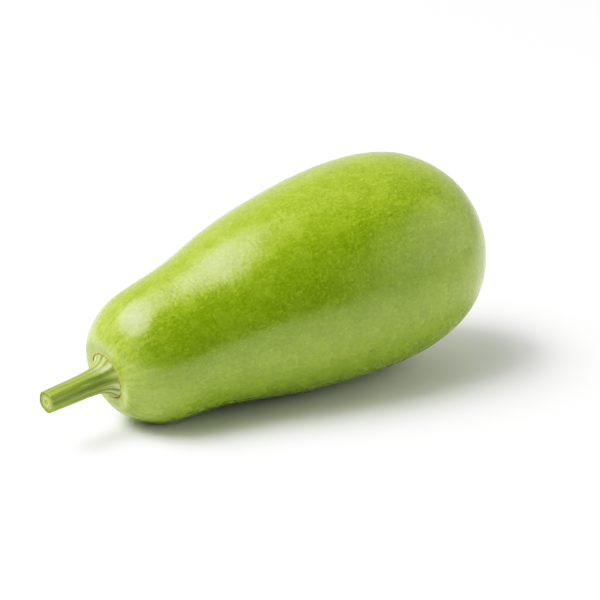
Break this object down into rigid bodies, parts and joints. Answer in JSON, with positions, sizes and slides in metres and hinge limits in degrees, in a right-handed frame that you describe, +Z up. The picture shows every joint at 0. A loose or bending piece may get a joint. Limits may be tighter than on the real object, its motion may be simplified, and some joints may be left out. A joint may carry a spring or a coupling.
{
  "type": "bottle gourd",
  "caption": "Whole pear-shaped bottle gourd lying on its side, with a smooth pale green skin, a blunt narrow end, a wide round belly and a short ribbed stem cut clean.",
  "frame": {"origin": "on the ground, under the middle of the whole gourd, stem included", "axes": "+X along the fruit's length towards the blossom end, so the stem points towards -X; +Z up as the gourd lies on its belly"},
  "size_m": [0.2704, 0.1182, 0.1209],
  "materials": {
    "gourd_skin": "smooth waxy yellow-green skin, softly glossy, finely mottled, with pale streaks round the stem",
    "gourd_stem": "ribbed green stem with light and dark stripes, satin, with a pale moist cut face"
  },
  "bodies": {
    "root": {"fruit": "gourd_skin", "stem": "gourd_stem"}
  },
  "joints": []
}
